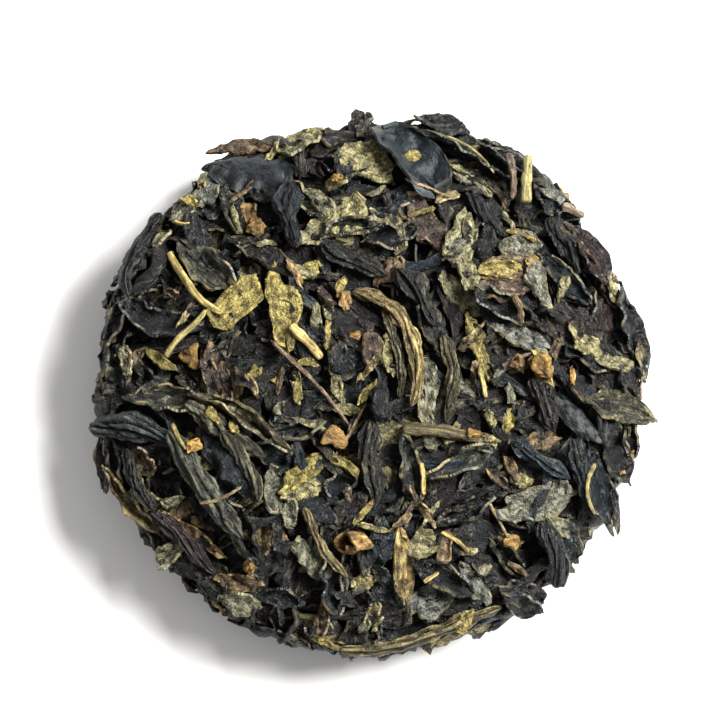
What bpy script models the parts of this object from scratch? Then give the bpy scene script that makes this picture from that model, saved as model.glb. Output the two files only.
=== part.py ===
"""A small pressed disc of green tea: rolled leaves, torn flakes, stems and buds bound into one cake.

Metres, +Z up. The origin is the middle of the flat patch that the disc rests on, on its axis.
"""

import math
import random

import bmesh
import bpy
from mathutils import Vector, noise

MM = 0.001

# The pressed body under the leaves that show
BODY_RADIUS = 26.6 * MM
BODY_HEIGHT = 11.6 * MM
WAIST_HEIGHT = 5.0 * MM  # where the body is widest
CROWN_POWER = 2.7  # how square its shoulder is
BASE_POWER = 4.6  # how square its foot is
BODY_LUMPS = 1.7 * MM
BODY_LUMP_SIZE = 3.3 * MM
BODY_SIDES = 30
BODY_RINGS = 14
BODY_BASE = 1.4 * MM  # the underside of the body, round the patch that it rests on
FOOT_RADIUS = 11.0 * MM  # the flat patch under the middle
FOOT_CLEARANCE = 0.35 * MM  # below this the press has squashed everything but the patch
FOOT_SQUASH = 0.15

# How leaves lie on the body
SUPPORT_CELL = 1.0 * MM  # the pile's height is kept for cells of this size
SINK_SHARE = 0.26  # the share of a piece's thickness pressed into what lies below it
PILE_LIMIT = 1.5 * MM  # the press lets nothing be carried higher than this above the body
STIFFNESS = 0.42  # 0 follows the body closely, 1 keeps a piece straight

ROLL_SIDES = 5
ROLL_STATION_LENGTH = 2.6 * MM
ROLL_DEPTH = 0.62  # a rolled leaf's thickness over its width
ROLL_GROOVE = 0.45  # where the fold runs, as a share of the section's radius
STEM_SIDES = 5
STEM_STATIONS = 2
FLAKE_THICKNESS = 0.60 * MM
FLAKE_RELIEF = 0.75 * MM

SEED = 10

# Each row is millimetres and degrees: x and y of the middle on the disc's face, the heading there
# (anticlockwise from +X), length, width, and how far the heading turns from one end to the other.
ROLLED_LEAVES = (
    (-22.7, 13.0, -100, 10.0, 2.5, 55),
    (-19.8, 4.4, -10, 10.5, 3.2, 85),
    (-20.7, -1.8, -24, 8.2, 3.0, 60),
    (-12.0, -3.6, -28, 9.5, 1.6, -25),
    (-13.6, -5.4, -28, 9.5, 2.6, -15),
    (-23.4, -4.9, -6, 11.2, 3.0, -35),
    (-16.2, -10.6, -54, 12.0, 2.8, -5),
    (-13.2, -9.8, -50, 6.0, 2.6, 0),
    (-11.1, -9.5, -75, 7.2, 1.6, -10),
    (-25.3, -9.6, -66, 7.0, 1.7, 14),
    (-17.0, -15.6, -42, 9.5, 2.2, 0),
    (-19.3, -12.9, -52, 9.0, 2.0, 5),
    (4.3, 4.5, -68, 15.0, 2.2, -88),
    (3.0, 2.8, -72, 9.0, 1.3, -60),
    (-1.7, 8.4, -28, 6.0, 1.9, 0),
    (-1.5, 12.4, -22, 7.0, 3.0, -10),
    (-7.9, 16.5, -85, 7.5, 2.7, 10),
    (7.2, 22.6, -70, 10.5, 3.2, -110),
    (10.3, 24.0, -30, 10.5, 2.7, -15),
    (17.4, -7.8, -28, 6.8, 2.5, -20),
    (16.8, -11.8, 10, 7.5, 3.4, 15),
    (8.3, 0.4, -86, 9.5, 2.0, -30),
    (7.8, -9.0, 20, 9.0, 2.2, 8),
    (-0.5, -8.8, -86, 7.5, 1.6, 8),
    (1.1, -8.5, -78, 7.0, 1.4, 5),
    (13.5, -17.8, -40, 6.5, 2.0, -20),
    (18.6, -17.0, -80, 6.5, 2.2, 0),
    (23.3, -10.5, -75, 9.5, 2.4, 0),
    (24.8, -7.2, -62, 6.5, 2.0, 0),
    (20.8, 8.7, -45, 9.0, 2.1, 0),
    (26.0, 4.8, -78, 6.0, 3.0, -10),
    (14.9, 4.7, -25, 6.5, 2.2, 0),
    (11.5, 3.5, -72, 6.2, 1.6, 0),
    (4.6, 8.6, -55, 6.5, 2.8, 0),
    (18.3, -2.0, -68, 6.5, 2.0, 10),
    (-16.2, 10.5, -50, 7.2, 3.0, 10),
    (-4.8, 10.8, -35, 6.5, 2.4, 0),
)

# As above, without the last value: a flake's crumple comes from its place.
FLAKES = (
    (-12.9, 24.4, 4, 5.8, 2.4),
    (-11.4, 21.0, -5, 7.0, 4.6),
    (-17.4, 18.8, 42, 8.5, 4.2),
    (-24.9, 4.8, 70, 4.2, 2.6),
    (-24.9, 1.4, 20, 4.8, 3.4),
    (-22.7, -12.4, -20, 3.8, 3.0),
    (-12.4, -22.3, -5, 4.4, 2.4),
    (-5.6, -18.0, -65, 4.4, 2.5),
    (-3.2, -15.4, -60, 4.2, 2.9),
    (-5.7, -8.7, 35, 5.6, 3.1),
    (-12.4, 8.1, 50, 6.6, 3.4),
    (-8.2, 7.0, -80, 6.9, 4.6),
    (-11.2, 1.5, -30, 6.4, 5.0),
    (-15.4, 0.4, -80, 4.6, 2.3),
    (-1.5, 16.8, 55, 4.4, 3.6),
    (1.6, 15.2, -60, 4.6, 3.6),
    (0.3, 22.0, 0, 5.2, 4.4),
    (-6.9, 23.6, 30, 5.0, 4.0),
    (13.1, 8.4, 5, 5.0, 3.1),
    (15.3, 13.9, 20, 4.6, 3.7),
    (17.8, 18.2, -60, 5.4, 3.4),
    (22.5, 11.8, -60, 5.8, 4.2),
    (21.1, 4.6, -10, 6.4, 4.0),
    (25.2, -2.2, -18, 6.8, 3.6),
    (21.1, -3.8, -10, 5.0, 3.7),
    (6.3, 0.0, -85, 5.8, 2.0),
    (1.1, -16.2, 70, 4.6, 2.9),
    (6.0, -16.3, 0, 3.6, 3.0),
    (0.0, -21.0, -70, 5.4, 3.1),
    (6.8, -21.8, -30, 5.4, 4.3),
    (11.3, -21.8, -20, 5.0, 2.8),
    (20.6, -13.6, 45, 4.8, 3.4),
    (4.0, -10.8, -70, 4.2, 2.4),
    (12.6, -13.4, -60, 4.4, 2.4),
)

STEMS = (
    (-18.0, 9.5, -45, 9.0, 0.9, 30),
    (-18.1, 4.6, 46, 6.2, 1.0, 0),
    (15.7, 19.3, 82, 5.4, 1.2, 0),
    (14.0, 19.6, -85, 4.6, 0.8, 0),
    (-5.7, -0.5, -45, 11.5, 0.9, 0),
    (7.3, -5.4, 2, 7.6, 1.7, 5),
    (4.3, -25.2, 15, 14.5, 1.8, 8),
    (-4.4, -16.5, -62, 7.6, 1.1, 10),
    (22.0, -10.7, -85, 5.2, 0.8, 25),
)

BUDS = (
    (-17.6, 2.2, -60, 2.6, 2.0),
    (-3.1, -5.8, -30, 3.0, 2.5),
    (-11.1, 15.3, -80, 2.6, 1.5),
    (17.6, 1.0, -50, 3.2, 2.0),
    (-1.5, -16.0, 0, 2.6, 2.4),
    (14.6, -16.2, -10, 2.6, 1.6),
)

# Seeded pieces: the rim and the underside, which no face row reaches, and bare spots of the face
RIM_ROWS = ((2.9, 11), (6.1, 8))  # height in millimetres, leaves in the row
FACE_SPOTS = 80  # places looked at, evenly spread; only bare ones get a leaf
BARE_SHARE = 0.22  # the share of a leaf that may already be covered
UNDERSIDE_PIECES = 15

draw = random.Random(SEED)
pile = {}


def clear_scene():
    for item in list(bpy.data.objects):
        bpy.data.objects.remove(item)


def tea_material():
    material = bpy.data.materials.new("pressed_tea")
    material.use_nodes = True
    shader = material.node_tree.nodes["Principled BSDF"]
    shader.inputs["Base Color"].default_value = (0.050, 0.048, 0.030, 1.0)
    shader.inputs["Roughness"].default_value = 0.55
    shader.inputs["Metallic"].default_value = 0.0
    return material


def lump(spot):
    """Height of the pressed mass over its even form, at a spot on that form."""
    return noise.noise(spot / BODY_LUMP_SIZE) * BODY_LUMPS


def on_body(point):
    """The body's surface along the ray from its waist through point, and the normal there."""
    above = point.z >= WAIST_HEIGHT
    power = CROWN_POWER if above else BASE_POWER
    half = BODY_HEIGHT - WAIST_HEIGHT if above else WAIST_HEIGHT - BODY_BASE
    radial = math.hypot(point.x, point.y) / BODY_RADIUS
    level = abs(point.z - WAIST_HEIGHT) / half
    scale = (radial**power + level**power) ** (-1 / power)
    waist = Vector((0, 0, WAIST_HEIGHT))
    surface = waist + (point - waist) * scale
    outward = (radial * scale) ** (power - 1) / BODY_RADIUS
    upward = (level * scale) ** (power - 1) / half * (1 if above else -1)
    flat = Vector((point.x, point.y, 0)).normalized()
    return surface, (flat * outward + Vector((0, 0, upward))).normalized()


def frame_at(point, heading, overhang=Vector()):
    """Origin on the body, directions along and across a piece, the normal, and the overhang."""
    origin, normal = on_body(point)
    along = heading - normal * heading.dot(normal)
    along.normalize()
    return origin, along, normal.cross(along), normal, overhang


def face_frame(x, y, turn):
    """A frame on the disc's upper face or shoulder, where the face is seen from above."""
    reach = min(1.0, 0.985 * BODY_RADIUS / max(math.hypot(x, y), MM))
    level = (1 - (math.hypot(x, y) * reach / BODY_RADIUS) ** CROWN_POWER) ** (1 / CROWN_POWER)
    height = WAIST_HEIGHT + (BODY_HEIGHT - WAIST_HEIGHT) * level
    heading = Vector((math.cos(turn), math.sin(turn), 0))
    overhang = Vector((x, y, 0)) * (1 - reach)
    return frame_at(Vector((x * reach, y * reach, height)), heading, overhang)


def spine(place, length, bend):
    """Position along and across the frame, at place from -0.5 to 0.5 of an arc-shaped spine."""
    if abs(bend) < 0.01:
        return place * length, 0.0
    radius = length / bend
    return radius * math.sin(place * bend), radius * (1 - math.cos(place * bend))


def squashed(spot):
    """A point kept off the surface that the disc rests on."""
    if spot.z < FOOT_CLEARANCE:
        spot.z = FOOT_CLEARANCE + FOOT_SQUASH * (spot.z - FOOT_CLEARANCE)
    return spot


def draped(frame, along, across, height):
    """A point of a piece, given in its frame, laid on the body as far as its stiffness lets it."""
    origin, along_axis, across_axis, normal, overhang = frame
    straight = origin + along_axis * along + across_axis * across
    surface, surface_normal = on_body(straight)
    spot = surface.lerp(straight, STIFFNESS)
    facing = surface_normal.lerp(normal, STIFFNESS).normalized()
    return squashed(spot + facing * height + overhang)


def cells_under(frame, length, width, bend):
    """The places along a piece and the cells of the pile that it lies over."""
    cells = []
    for step in range(-2, 3):
        along, across = spine(step * 0.2, length, bend)
        for side in (-0.3, 0.0, 0.3):
            spot = draped(frame, along, across + side * width, 0.0)
            cell = tuple(round(value / SUPPORT_CELL) for value in spot)
            cells.append((step * 0.2 * length, spot, cell))
    return cells


def covered_share(frame, length, width):
    cells = cells_under(frame, length, width, 0.0)
    return sum(cell in pile for _, _, cell in cells) / len(cells)


def settle(frame, length, width, bend, thickness):
    """Height at the middle and slope along a piece that comes to lie on the pile, which it raises."""
    cells = cells_under(frame, length, width, bend)
    found = [(place, pile.get(cell, lump(spot))) for place, spot, cell in cells]
    middle = sum(height for _, height in found) / len(found)
    spread = sum(place * place for place, _ in found)
    slope = sum(place * height for place, height in found) / spread
    base = min(middle, PILE_LIMIT) - SINK_SHARE * thickness
    for place, _, cell in cells:
        top = base + slope * place + thickness
        pile[cell] = max(pile.get(cell, 0.0), top)
    return base, slope


def finished(name, mesh_builder, collection):
    bmesh.ops.triangulate(mesh_builder, faces=mesh_builder.faces[:])
    bmesh.ops.recalc_face_normals(mesh_builder, faces=mesh_builder.faces[:])
    mesh = bpy.data.meshes.new(name)
    mesh_builder.to_mesh(mesh)
    mesh_builder.free()
    item = bpy.data.objects.new(name, mesh)
    collection.objects.link(item)
    return item


def rod(sides, stations):
    """A closed rod of unit radius and length along X, cut into stations."""
    made = bmesh.new()
    bmesh.ops.create_cone(made, cap_ends=True, segments=sides, radius1=1, radius2=1, depth=1)
    for vertex in made.verts:
        vertex.co = (vertex.co.z, vertex.co.x, vertex.co.y)
    for cut in range(1, stations):
        geometry = made.verts[:] + made.edges[:] + made.faces[:]
        plane = (cut / stations - 0.5, 0, 0)
        bmesh.ops.bisect_plane(made, geom=geometry, plane_co=plane, plane_no=(1, 0, 0))
    return made


def rolled_leaf(name, frame, length, width, bend, collection):
    """A leaf rolled along its length, with the fold as a groove that winds round it."""
    thickness = width * ROLL_DEPTH
    base, slope = settle(frame, length, width, bend, thickness)
    wind = draw.uniform(-0.9, 0.9)
    wave = draw.uniform(0, 2 * math.pi)
    made = rod(ROLL_SIDES, max(2, round(length / ROLL_STATION_LENGTH)))
    for vertex in made.verts:
        place, side, lift = vertex.co
        angle = math.atan2(lift, side)
        radius = ROLL_GROOVE if abs(angle - math.pi / 2) < 0.1 else 1.0
        swell = 0.30 + 0.70 * math.cos(math.pi * place) ** 0.7 if abs(place) < 0.499 else 0.30
        swell *= 1 + 0.12 * math.sin(wave + 9 * place)
        angle += wind * place
        along, across = spine(place, length, bend)
        across += radius * swell * width / 2 * math.cos(angle)
        height = base + slope * place * length + thickness / 2
        height += radius * swell * thickness / 2 * math.sin(angle)
        vertex.co = draped(frame, along, across, height)
    return finished(name, made, collection)


def flake(name, frame, length, width, collection):
    """A torn bit of leaf: a thin sheet with a ragged outline, folded and crumpled."""
    base, slope = settle(frame, length, width, 0.0, FLAKE_THICKNESS + FLAKE_RELIEF)
    tilt = draw.uniform(-0.28, 0.28)
    fold = draw.uniform(-0.3, 0.3)
    roughness = Vector((draw.uniform(0, 50), draw.uniform(0, 50), 0))
    made = bmesh.new()
    bmesh.ops.create_grid(made, x_segments=3, y_segments=2, size=0.5)
    for vertex in made.verts:
        place, side = vertex.co.x, vertex.co.y
        ragged = 1 + 0.30 * noise.noise(roughness + Vector((place, side, 0)) * 3.1)
        corner = 1 - 1.15 * (place * side) ** 2 * 4
        along = place * length * ragged * corner
        across = side * width * ragged * corner
        crumple = noise.noise(roughness + Vector((along, across, 0)) / (1.6 * MM))
        height = base + slope * along + FLAKE_THICKNESS + (crumple + 0.35) * FLAKE_RELIEF
        height += across * tilt + abs(across - fold * width) * 0.22
        vertex.co = (along, across, height)
    bmesh.ops.triangulate(made, faces=made.faces[:])
    bmesh.ops.solidify(made, geom=made.faces[:], thickness=FLAKE_THICKNESS)
    for vertex in made.verts:
        vertex.co = draped(frame, *vertex.co)
    return finished(name, made, collection)


def stem(name, frame, length, width, bend, collection):
    """A stem or leaf stalk: a slightly tapered rod with blunt ends."""
    base, slope = settle(frame, length, width, bend, width)
    made = rod(STEM_SIDES, STEM_STATIONS)
    for vertex in made.verts:
        place, side, lift = vertex.co
        taper = 1.0 - 0.25 * place
        along, across = spine(place, length, bend)
        across += side * taper * width / 2
        height = base + slope * place * length + width / 2 * (1 + lift * taper)
        vertex.co = draped(frame, along, across, height)
    return finished(name, made, collection)


def bud(name, frame, length, width, collection):
    """A blunt nub of stalk or bud, as an uneven faceted lump."""
    base, slope = settle(frame, length, width, 0.0, width * 0.8)
    made = bmesh.new()
    bmesh.ops.create_icosphere(made, subdivisions=1, radius=0.5)
    for vertex in made.verts:
        uneven = 1 + draw.uniform(-0.15, 0.15)
        along = vertex.co.x * length * uneven
        across = vertex.co.y * width * uneven
        height = base + width * 0.4 + vertex.co.z * width * 0.8
        vertex.co = draped(frame, along, across, height)
    return finished(name, made, collection)


def lay_the_face(collection):
    """The leaves, flakes, stems and buds of the upper face and shoulder, lowest first."""
    for index, (x, y, turn, length, width, bend) in enumerate(ROLLED_LEAVES):
        frame = face_frame(x * MM, y * MM, math.radians(turn))
        rolled_leaf(f"roll_{index}", frame, length * MM, width * MM, math.radians(bend), collection)
    for index, (x, y, turn, length, width) in enumerate(FLAKES):
        frame = face_frame(x * MM, y * MM, math.radians(turn))
        flake(f"flake_{index}", frame, length * MM, width * MM, collection)
    for index, (x, y, turn, length, width, bend) in enumerate(STEMS):
        frame = face_frame(x * MM, y * MM, math.radians(turn))
        stem(f"stem_{index}", frame, length * MM, width * MM, math.radians(bend), collection)
    for index, (x, y, turn, length, width) in enumerate(BUDS):
        frame = face_frame(x * MM, y * MM, math.radians(turn))
        bud(f"bud_{index}", frame, length * MM, width * MM, collection)


def lay_bare_spots(collection):
    """Leaves for what the rows leave bare, at spots spread evenly by the golden angle."""
    golden = math.pi * (3 - math.sqrt(5))
    for index in range(FACE_SPOTS):
        radius = math.sqrt((index + 0.5) / FACE_SPOTS) * 0.97 * BODY_RADIUS
        azimuth = index * golden
        frame = face_frame(
            radius * math.cos(azimuth), radius * math.sin(azimuth), draw.uniform(0, 2 * math.pi)
        )
        length = draw.uniform(6.0, 9.0) * MM
        width = draw.uniform(2.2, 3.4) * MM
        if covered_share(frame, length, width) > BARE_SHARE:
            continue
        if index % 2:
            flake(f"spot_{index}", frame, length * 0.8, width * 1.2, collection)
        else:
            rolled_leaf(f"spot_{index}", frame, length, width, draw.uniform(-0.6, 0.6), collection)


def lay_the_rim(collection):
    """Leaves pressed round the rim, each row a little out of step, at mixed slants."""
    for row, (height, count) in enumerate(RIM_ROWS):
        for index in range(count):
            azimuth = (index + 0.5 * row + draw.uniform(-0.25, 0.25)) * 2 * math.pi / count
            outward = Vector((math.cos(azimuth), math.sin(azimuth), 0))
            slant = draw.uniform(-0.9, 0.9)
            sideways = Vector((-outward.y, outward.x, 0))
            heading = sideways * math.cos(slant) + Vector((0, 0, math.sin(slant)))
            level = (height + draw.uniform(-0.8, 0.8)) * MM
            frame = frame_at(outward * BODY_RADIUS + Vector((0, 0, level)), heading)
            length = draw.uniform(6.5, 10.0) * MM
            width = draw.uniform(2.4, 3.8) * MM
            if index % 3 == 2:
                flake(f"rim_{row}_{index}", frame, length * 0.8, width * 1.3, collection)
            else:
                bend = draw.uniform(-0.4, 0.4)
                rolled_leaf(f"rim_{row}_{index}", frame, length, width, bend, collection)


def lay_the_underside(collection):
    """Flatter leaves spread evenly under the disc, by the golden angle, round the flat patch."""
    golden = math.pi * (3 - math.sqrt(5))
    for index in range(UNDERSIDE_PIECES):
        share = (index + 0.5) / UNDERSIDE_PIECES
        radius = math.sqrt(0.20 + 0.60 * share) * BODY_RADIUS
        azimuth = index * golden
        turn = draw.uniform(0, 2 * math.pi)
        heading = Vector((math.cos(turn), math.sin(turn), 0))
        spot = Vector((radius * math.cos(azimuth), radius * math.sin(azimuth), 0))
        frame = frame_at(spot, heading)
        length = draw.uniform(6.0, 9.5) * MM
        width = draw.uniform(2.6, 4.0) * MM
        if index % 7 in (1, 3, 5):
            rolled_leaf(f"under_{index}", frame, length, width * 0.8, 0.2, collection)
        else:
            flake(f"under_{index}", frame, length * 0.8, width, collection)


def body():
    """The pressed mass that carries the leaves, lumpy, with a flat patch under its middle."""
    made = bmesh.new()
    bmesh.ops.create_uvsphere(made, u_segments=BODY_SIDES, v_segments=BODY_RINGS, radius=1)
    for vertex in made.verts:
        direction = vertex.co.normalized()
        start = Vector((0, 0, WAIST_HEIGHT))
        spread = Vector((direction.x * BODY_RADIUS, direction.y * BODY_RADIUS, direction.z * BODY_HEIGHT))
        surface, normal = on_body(start + spread)
        surface += normal * lump(surface)
        on_foot = direction.z < 0 and math.hypot(surface.x, surface.y) < FOOT_RADIUS
        vertex.co = squashed(surface)
        if on_foot:
            vertex.co.z = 0.0
    return finished("tea_disc", made, bpy.context.scene.collection)


def fuse(disc, collection):
    """Joins every piece to the body in one union, then removes the pieces."""
    union = disc.modifiers.new("fuse", "BOOLEAN")
    union.operation = "UNION"
    union.operand_type = "COLLECTION"
    union.collection = collection
    union.solver = "EXACT"
    graph = bpy.context.evaluated_depsgraph_get()
    fused = bpy.data.meshes.new_from_object(disc.evaluated_get(graph))
    disc.modifiers.clear()
    disc.data = fused
    for item in list(collection.objects):
        bpy.data.objects.remove(item)
    bpy.data.collections.remove(collection)


def keep_one_solid(disc):
    """Drops loose scraps, and the walls of hollows that the union sealed, which fills them."""
    made = bmesh.new()
    made.from_mesh(disc.data)
    bmesh.ops.triangulate(made, faces=made.faces[:])
    waiting = set(made.faces)
    shells = []
    while waiting:
        shell, front = set(), [waiting.pop()]
        while front:
            face = front.pop()
            shell.add(face)
            for edge in face.edges:
                for other in edge.link_faces:
                    if other in waiting:
                        waiting.remove(other)
                        front.append(other)
        shells.append(shell)
    largest = max(shells, key=len)
    spare = [face for shell in shells if shell is not largest for face in shell]
    bmesh.ops.delete(made, geom=spare, context="FACES")
    made.to_mesh(disc.data)
    made.free()


def main():
    clear_scene()
    pieces = bpy.data.collections.new("pieces")
    bpy.context.scene.collection.children.link(pieces)
    lay_the_rim(pieces)
    lay_the_underside(pieces)
    lay_the_face(pieces)
    lay_bare_spots(pieces)
    disc = body()
    fuse(disc, pieces)
    keep_one_solid(disc)
    disc.data.materials.clear()
    disc.data.materials.append(tea_material())


main()
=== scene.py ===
import math

import bmesh
import bpy
import numpy as np
from mathutils import Matrix, Vector


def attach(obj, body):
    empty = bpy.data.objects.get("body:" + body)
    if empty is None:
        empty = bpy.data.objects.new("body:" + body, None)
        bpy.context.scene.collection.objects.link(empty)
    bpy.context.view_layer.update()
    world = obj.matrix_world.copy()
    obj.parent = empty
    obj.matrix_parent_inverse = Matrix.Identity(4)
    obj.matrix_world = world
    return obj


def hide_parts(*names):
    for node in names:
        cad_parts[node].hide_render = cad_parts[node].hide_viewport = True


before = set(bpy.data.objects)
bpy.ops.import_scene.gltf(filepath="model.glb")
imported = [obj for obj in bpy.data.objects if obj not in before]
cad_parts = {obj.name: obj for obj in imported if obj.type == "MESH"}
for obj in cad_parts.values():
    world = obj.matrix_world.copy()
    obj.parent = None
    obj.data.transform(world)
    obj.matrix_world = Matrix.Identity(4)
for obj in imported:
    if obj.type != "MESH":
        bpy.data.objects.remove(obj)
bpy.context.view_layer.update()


# ---- The view -----------------------------------------------------------------------------
# The disc lies flat and is looked down on from a little in front of it, close enough for a
# slight perspective. Sizes are in millimetres, here and in the sections after it.
MM = 0.001
VIEW_ELEVATION = math.radians(78.0)
VIEW_DISTANCE = 215.0
VIEW_WIDTH = 72.5
AIM_LEFT, AIM_UP = 0.45, 1.75
MIDDLE = Vector((0, 0, 7.0))
RIGHT = Vector((1, 0, 0))
UP = Vector((0, math.sin(VIEW_ELEVATION), math.cos(VIEW_ELEVATION)))

lens = bpy.data.cameras.new("view")
lens.sensor_width = 36.0
lens.lens = lens.sensor_width * VIEW_DISTANCE / VIEW_WIDTH
lens.clip_start = 0.01
camera = bpy.data.objects.new("view", lens)
bpy.context.scene.collection.objects.link(camera)
outlook = Vector((0, -math.cos(VIEW_ELEVATION), math.sin(VIEW_ELEVATION)))
AIM = MIDDLE - RIGHT * AIM_LEFT + UP * AIM_UP
EYE = AIM + outlook * VIEW_DISTANCE
looking = outlook.to_track_quat("Z", "Y").to_matrix().to_4x4()
camera.matrix_world = Matrix.Translation(EYE * MM) @ looking
bpy.context.scene.camera = camera


# ---- The pressed core ---------------------------------------------------------------------
# Tea broken small and pressed hard, one lumpy mass under the leaves, which shows only at the
# bottom of the gaps between them. Its near-black colour, darker than any leaf, is painted shade
# there.
FORM_RADIUS = 27.9
FORM_TOP = 11.7
FORM_FOOT = 1.2
WAIST = 5.0
CROWN_POWER = 2.7  # how square the upper edge is, and the lower one
BASE_POWER = 4.6
CORE_DEPTH = 3.2  # from the disc's even form down to the core
LUMP_SIZE, LUMP_HEIGHT = 4.0, 0.5
FOLD_SIZE, FOLD_HEIGHT = 2.2, 0.22

dice = np.random.default_rng(7)


def on_form(points):
    """The disc's even form along the ray from its waist through each point, and the way out."""
    x, y, z = points.T
    above = z >= WAIST
    power = np.where(above, CROWN_POWER, BASE_POWER)
    half = np.where(above, FORM_TOP - WAIST, WAIST - FORM_FOOT)
    reach = np.hypot(x, y) + 1e-9
    radial = reach / FORM_RADIUS
    level = np.abs(z - WAIST) / half + 1e-9
    scale = (radial**power + level**power) ** (-1 / power)
    surface = np.stack((x * scale, y * scale, WAIST + (z - WAIST) * scale), 1)
    outward = (radial * scale) ** (power - 1) / FORM_RADIUS
    upward = (level * scale) ** (power - 1) / half * np.where(above, 1, -1)
    out = np.stack((x / reach * outward, y / reach * outward, upward), 1)
    return surface, out / np.linalg.norm(out, axis=1, keepdims=True)


def waves(points, size, count, chance):
    """A smooth uneven field, between about -1 and 1, with bumps of that size."""
    ways = chance.normal(size=(count, points.shape[-1]))
    pace = chance.uniform(0.7, 1.4, count) * 2 * math.pi / size
    ways *= (pace / np.linalg.norm(ways, axis=1))[:, None]
    return np.sin(points @ ways.T + chance.uniform(0, 6.28, count)).sum(-1) * (1.3 / count**0.5)


def creases(points, size, count, chance):
    """A field of flats that meet in sharp folds, as crumpled dry leaf has, mostly from -1 to 1."""
    total = 0
    for _ in range(count):
        way = chance.normal(size=points.shape[-1])
        way /= np.linalg.norm(way)
        across = points @ way / size + chance.uniform(0, 1)
        total = total + chance.choice((-1, 1)) * (4 * np.abs(across - np.floor(across + 0.5)) - 1)
    return total / count**0.5


def coordinates(mesh_builder):
    return np.array([vertex.co for vertex in mesh_builder.verts])


def give_coordinates(mesh_builder, points):
    for vertex, point in zip(mesh_builder.verts, points.tolist()):
        vertex.co = point


core = bmesh.new()
bmesh.ops.create_icosphere(core, subdivisions=5, radius=1)
way = coordinates(core)
surface, out = on_form(way * (FORM_RADIUS, FORM_RADIUS, FORM_TOP) + (0, 0, WAIST))
lumps = waves(surface, LUMP_SIZE, 9, dice) * LUMP_HEIGHT
lumps += creases(surface, FOLD_SIZE, 6, dice) * FOLD_HEIGHT
core_points = surface + out * (lumps - CORE_DEPTH)[:, None]
give_coordinates(core, core_points * MM)
core_mesh = bpy.data.meshes.new("leaf_core")
core.to_mesh(core_mesh)
core.free()
core_mesh.shade_smooth()
leaf_core = bpy.data.objects.new("leaf_core", core_mesh)
bpy.context.scene.collection.objects.link(leaf_core)


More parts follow.
